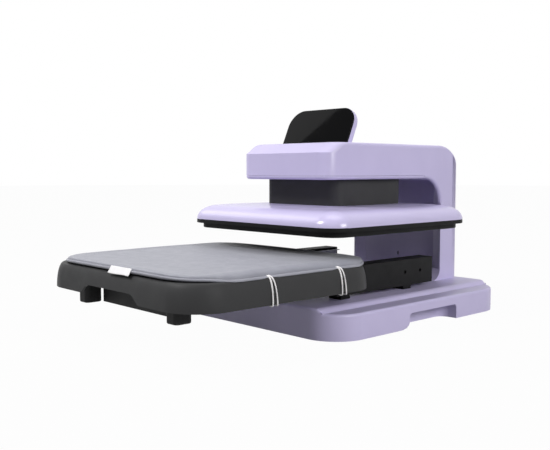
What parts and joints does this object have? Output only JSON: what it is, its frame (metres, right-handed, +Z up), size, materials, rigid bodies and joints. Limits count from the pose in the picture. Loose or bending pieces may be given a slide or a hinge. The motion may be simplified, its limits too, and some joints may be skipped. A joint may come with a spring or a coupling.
{
  "type": "flat heat press",
  "caption": "Flat craft heat press: a motor lowers a square heated plate onto a padded mat in a pull-out drawer, under a C-shaped column and head with a tilted touch screen.",
  "frame": {"origin": "on the table under the rubber feet, in the middle of the footprint with the drawer out", "axes": "+X to the right seen from the front, +Y from the drawer to the column, +Z up"},
  "size_m": [0.45, 0.801, 0.4095],
  "materials": {
    "lilac_plastic": "satin lilac moulded plastic",
    "graphite_plastic": "matt dark grey moulded plastic",
    "black_plastic": "matt black plastic",
    "black_steel": "black powder-coated sheet steel",
    "steel": "plain zinc-plated steel",
    "bright_steel": "ground bright steel",
    "coated_aluminium": "dark non-stick coated aluminium",
    "brass": "plain brass",
    "rubber": "matt black rubber",
    "screen_glass": "black glossy glass",
    "mat_fabric": "silver-grey heat-proof cloth",
    "white_fabric": "white elastic and cloth",
    "insulation": "pressed mineral fibre",
    "circuit_board": "green circuit board",
    "nylon": "natural nylon"
  },
  "bodies": {
    "frame": {"base_shell": "lilac_plastic", "base_pan": "steel", "rubber_feet": "rubber", "pan_screws": "steel", "column_shell": "lilac_plastic", "rear_cover": "lilac_plastic", "rear_cover_screws": "steel", "column_front_panel": "lilac_plastic", "head_bottom_cover": "lilac_plastic", "frame_plate_left": "steel", "frame_plate_right": "steel", "frame_top_plate": "steel", "frame_ties": "steel", "guide_rods": "bright_steel", "screw_bearing": "steel", "gear_motor": "black_steel", "rail_box_left": "black_steel", "rail_box_right": "black_steel", "rail_spacers": "black_plastic", "rail_screws": "steel", "slide_outer_left": "steel", "slide_outer_right": "steel", "control_board": "circuit_board", "power_board": "circuit_board", "power_inlet": "black_plastic", "switch_bezel": "black_plastic", "drawer_sensor": "black_plastic", "screen_shell": "lilac_plastic", "screen_glass": "screen_glass", "display_module": "black_plastic", "screen_bracket": "steel"},
    "drawer": {"tray_shell": "graphite_plastic", "tray_plate": "steel", "press_mat": "mat_fabric", "elastic_loops": "white_fabric", "mat_tag": "white_fabric", "tray_feet": "graphite_plastic", "drawer_brackets": "steel", "slide_inner_left": "steel", "slide_inner_right": "steel"},
    "slide_middle": {"slide_middle_left": "steel", "slide_middle_right": "steel"},
    "press": {"platen_cover": "lilac_plastic", "platen_rim": "black_plastic", "heat_plate": "coated_aluminium", "heating_element": "steel", "insulation_pad": "insulation", "pressure_plate": "steel", "thermal_cutout": "steel", "shroud": "graphite_plastic", "press_carrier": "steel", "carrier_posts": "steel", "screw_nut": "brass", "guide_bushings": "brass"},
    "screw": {"lead_screw": "bright_steel", "screw_gear": "nylon"},
    "pinion": {"motor_pinion": "brass"},
    "rocker": {"power_rocker": "black_plastic"}
  },
  "joints": [
    {"name": "drawer_slide", "type": "slide", "parent": "frame", "child": "drawer", "axis": [0, 1, 0], "range_m": [0, 0.306]},
    {"name": "middle_slide", "type": "slide", "parent": "frame", "child": "slide_middle", "axis": [0, 1, 0], "range_m": [0, 0.153]},
    {"name": "press_slide", "type": "slide", "parent": "frame", "child": "press", "axis": [0, 0, -1], "range_m": [0, 0.033]},
    {"name": "screw_spin", "type": "hinge", "parent": "frame", "child": "screw", "pos_m": [0, 0.1245, 0.303], "axis": [0, 0, 1], "range_deg": [0, 992]},
    {"name": "pinion_spin", "type": "hinge", "parent": "frame", "child": "pinion", "pos_m": [0, 0.1725, 0.303], "axis": [0, 0, 1], "range_deg": [-2976, 0]},
    {"name": "rocker_tilt", "type": "hinge", "parent": "frame", "child": "rocker", "pos_m": [0.045, 0.3895, 0.098], "axis": [1, 0, 0], "range_deg": [0, 24]}
  ],
  "couplings": [
    {"joint": "middle_slide", "follows": "drawer_slide", "ratio": 0.5},
    {"joint": "screw_spin", "follows": "press_slide", "rad_per_m": 523.6},
    {"joint": "pinion_spin", "follows": "press_slide", "rad_per_m": -1570.8}
  ]
}
